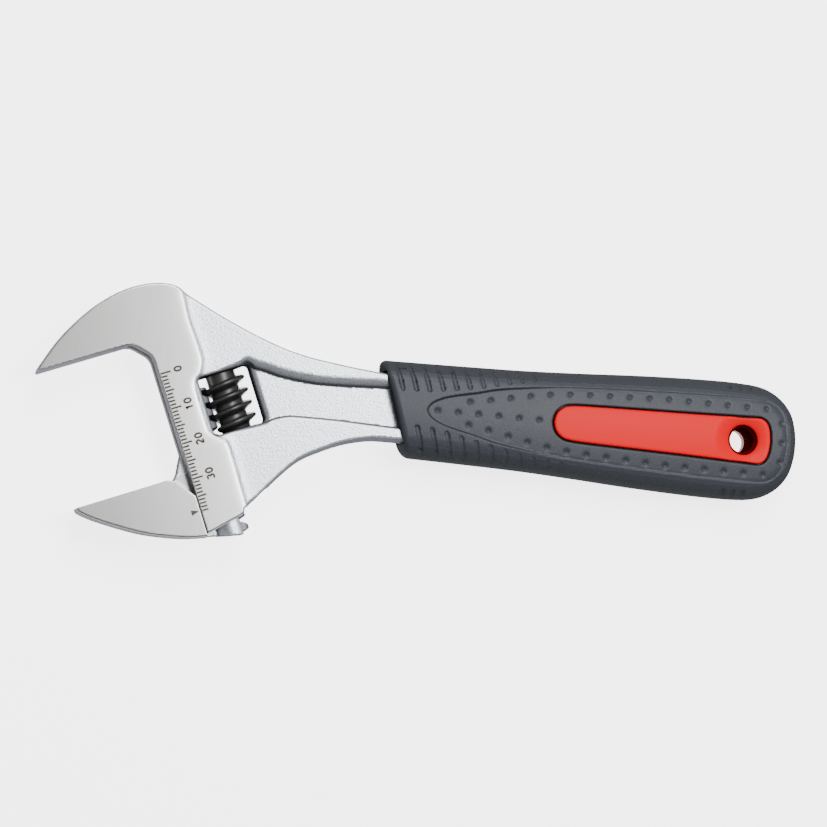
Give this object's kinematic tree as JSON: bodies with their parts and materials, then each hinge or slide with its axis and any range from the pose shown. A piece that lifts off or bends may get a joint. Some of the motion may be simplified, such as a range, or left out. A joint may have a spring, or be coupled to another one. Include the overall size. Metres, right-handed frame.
{
  "type": "adjustable wrench",
  "caption": "Adjustable wrench with a wide-opening sliding jaw, a worm in a window of the forged head, and a rubber-covered handle with red inlays and a hang hole.",
  "frame": {"origin": "centre of the hang hole, on the wrench's mid-plane", "axes": "+X along the handle from the head towards the handle's end, +Y in the wrench's plane on the fixed jaw's side, +Z through the thickness towards the face with the millimetre scale"},
  "size_m": [0.2173, 0.0695, 0.017],
  "materials": {
    "plated_steel": "satin chrome plate, polished on the jaws' flat faces",
    "black_steel": "black oxide, slightly oily",
    "bright_steel": "bright machined steel",
    "black_plastic": "hard matt plastic",
    "soft_rubber": "soft matt rubber with a fine grain",
    "red_plastic": "smooth moulded plastic, slightly glossy"
  },
  "bodies": {
    "handle": {"body": "plated_steel", "worm_pin": "bright_steel", "worm_spring": "bright_steel", "grip_core": "black_plastic", "grip_sleeve": "soft_rubber", "front_inlay": "red_plastic", "rear_inlay": "red_plastic"},
    "movable_jaw": {"movable_jaw": "plated_steel"},
    "worm": {"worm": "black_steel"}
  },
  "joints": [
    {"name": "jaw_slide", "type": "slide", "parent": "handle", "child": "movable_jaw", "axis": [-0.3746, 0.9272, 0], "range_m": [0, 0.0386]},
    {"name": "worm_spin", "type": "hinge", "parent": "handle", "child": "worm", "pos_m": [-0.14666, -0.00232, 0], "axis": [0.3746, -0.9272, 0], "range_deg": [0, 3830]}
  ],
  "couplings": [
    {"joint": "worm_spin", "follows": "jaw_slide", "rad_per_m": 1730.9}
  ]
}
